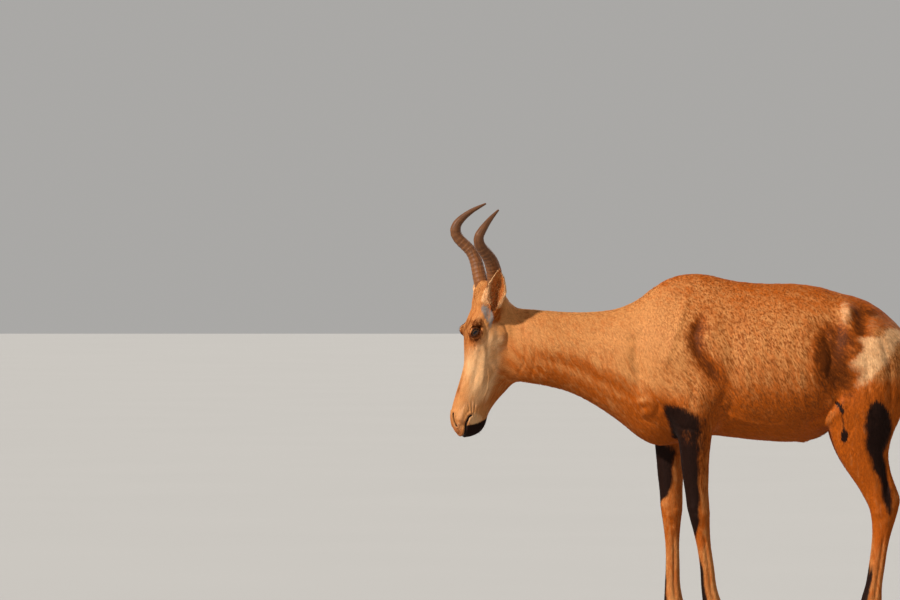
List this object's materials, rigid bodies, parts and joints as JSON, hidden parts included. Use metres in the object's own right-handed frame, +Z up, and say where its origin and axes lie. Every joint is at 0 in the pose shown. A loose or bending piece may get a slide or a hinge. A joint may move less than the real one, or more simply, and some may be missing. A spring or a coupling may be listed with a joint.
{
  "type": "red hartebeest antelope",
  "caption": "Life-size still model of a standing red hartebeest bull, head lowered and turned a little to its left, with ringed bent horns.",
  "frame": {"origin": "on the floor under the middle of the bounding box", "axes": "+Z up; the animal faces -X with its left side towards -Y"},
  "size_m": [1.6551, 0.4154, 1.515],
  "materials": {
    "coat": "short smooth hair lying flat, red-brown with a paler rump and dark leg patches",
    "face_coat": "very short smooth hair, tan with a dark blaze and chin",
    "tail_hair": "long black hair",
    "eye": "dark wet gloss",
    "horn": "ringed horn, satin",
    "hoof": "dark hoof horn, satin"
  },
  "bodies": {
    "root": {"trunk": "coat", "neck": "coat", "head": "face_coat", "tail": "tail_hair", "foreleg_left": "coat", "foreleg_right": "coat", "hindleg_left": "coat", "hindleg_right": "coat", "ear_left": "face_coat", "ear_right": "face_coat", "eye_left": "eye", "eye_right": "eye", "horn_left": "horn", "horn_right": "horn", "foreleg_left_claw_outer": "hoof", "foreleg_left_claw_inner": "hoof", "foreleg_right_claw_outer": "hoof", "foreleg_right_claw_inner": "hoof", "hindleg_left_claw_outer": "hoof", "hindleg_left_claw_inner": "hoof", "hindleg_right_claw_outer": "hoof", "hindleg_right_claw_inner": "hoof"}
  },
  "joints": []
}
